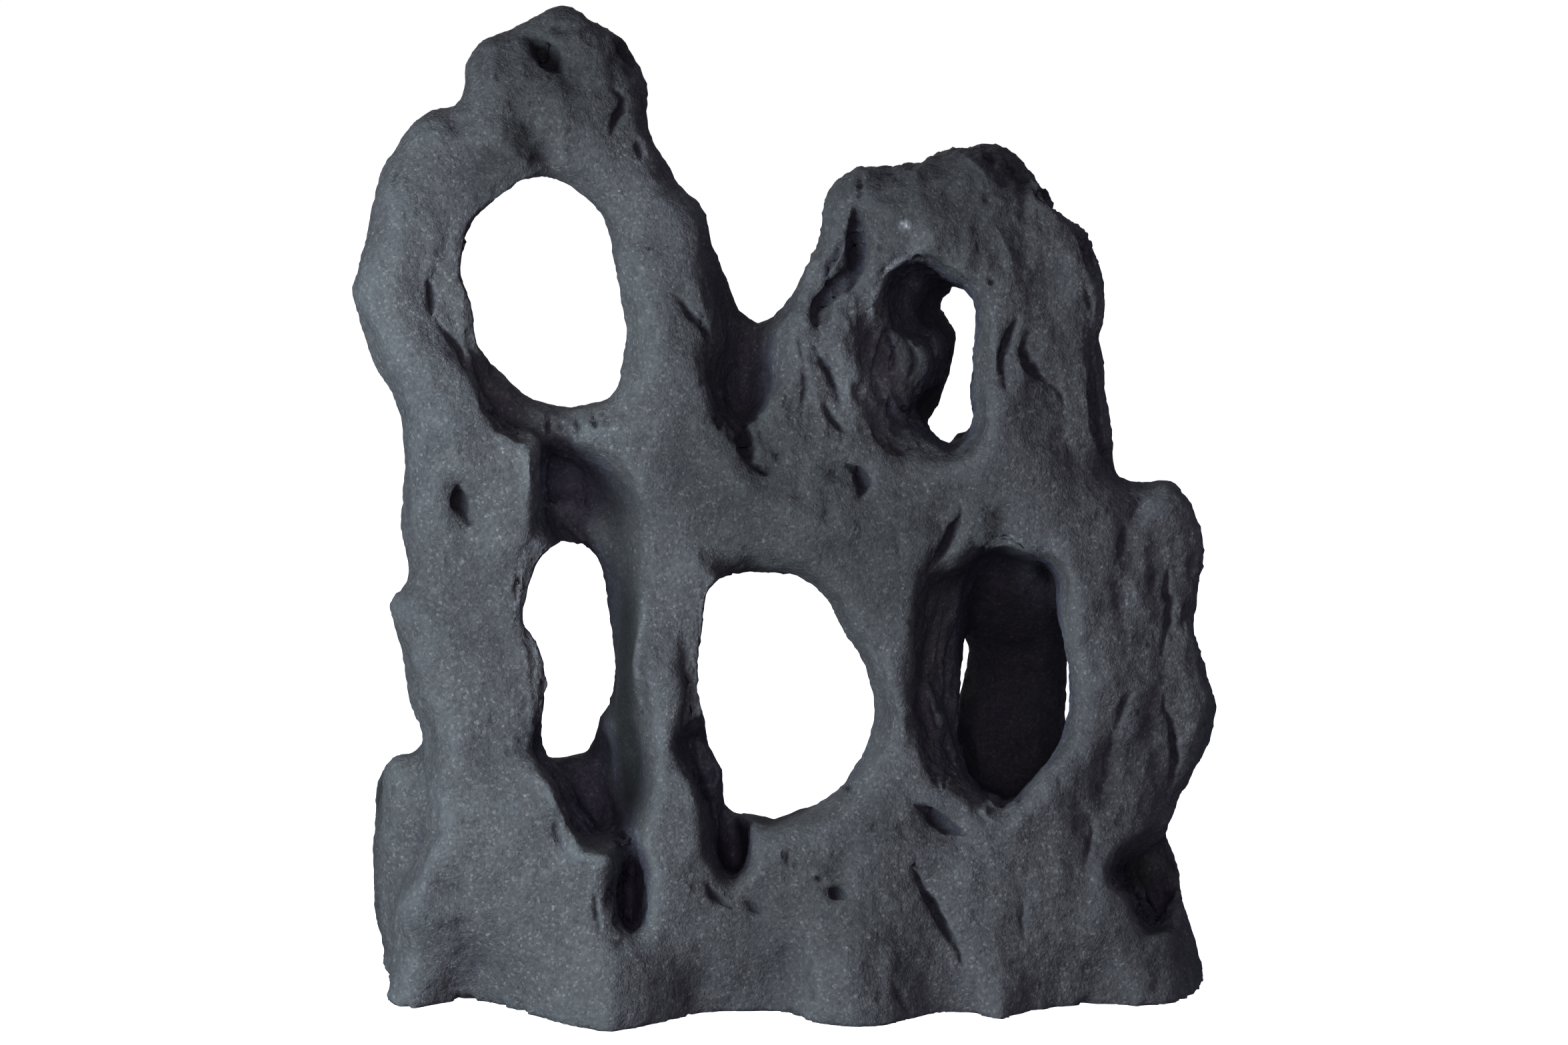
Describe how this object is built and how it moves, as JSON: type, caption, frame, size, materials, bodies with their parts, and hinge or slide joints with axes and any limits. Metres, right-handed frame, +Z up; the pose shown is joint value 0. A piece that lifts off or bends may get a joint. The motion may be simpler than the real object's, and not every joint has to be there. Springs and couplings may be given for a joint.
{
  "type": "holey rock",
  "caption": "Standing dark grey sandy rock with holes right through it, two peaks and a flared flat foot, for an aquarium or a rockery.",
  "frame": {"origin": "middle of the bounding box, on the floor that the rock stands on", "axes": "+Z up, the front with the open holes faces -Y, +X to the viewer's right"},
  "size_m": [0.3192, 0.1608, 0.3603],
  "materials": {
    "stone": "dark grey stone with an even coat of fine sand, fully matt"
  },
  "bodies": {
    "root": {"rock": "stone"}
  },
  "joints": []
}
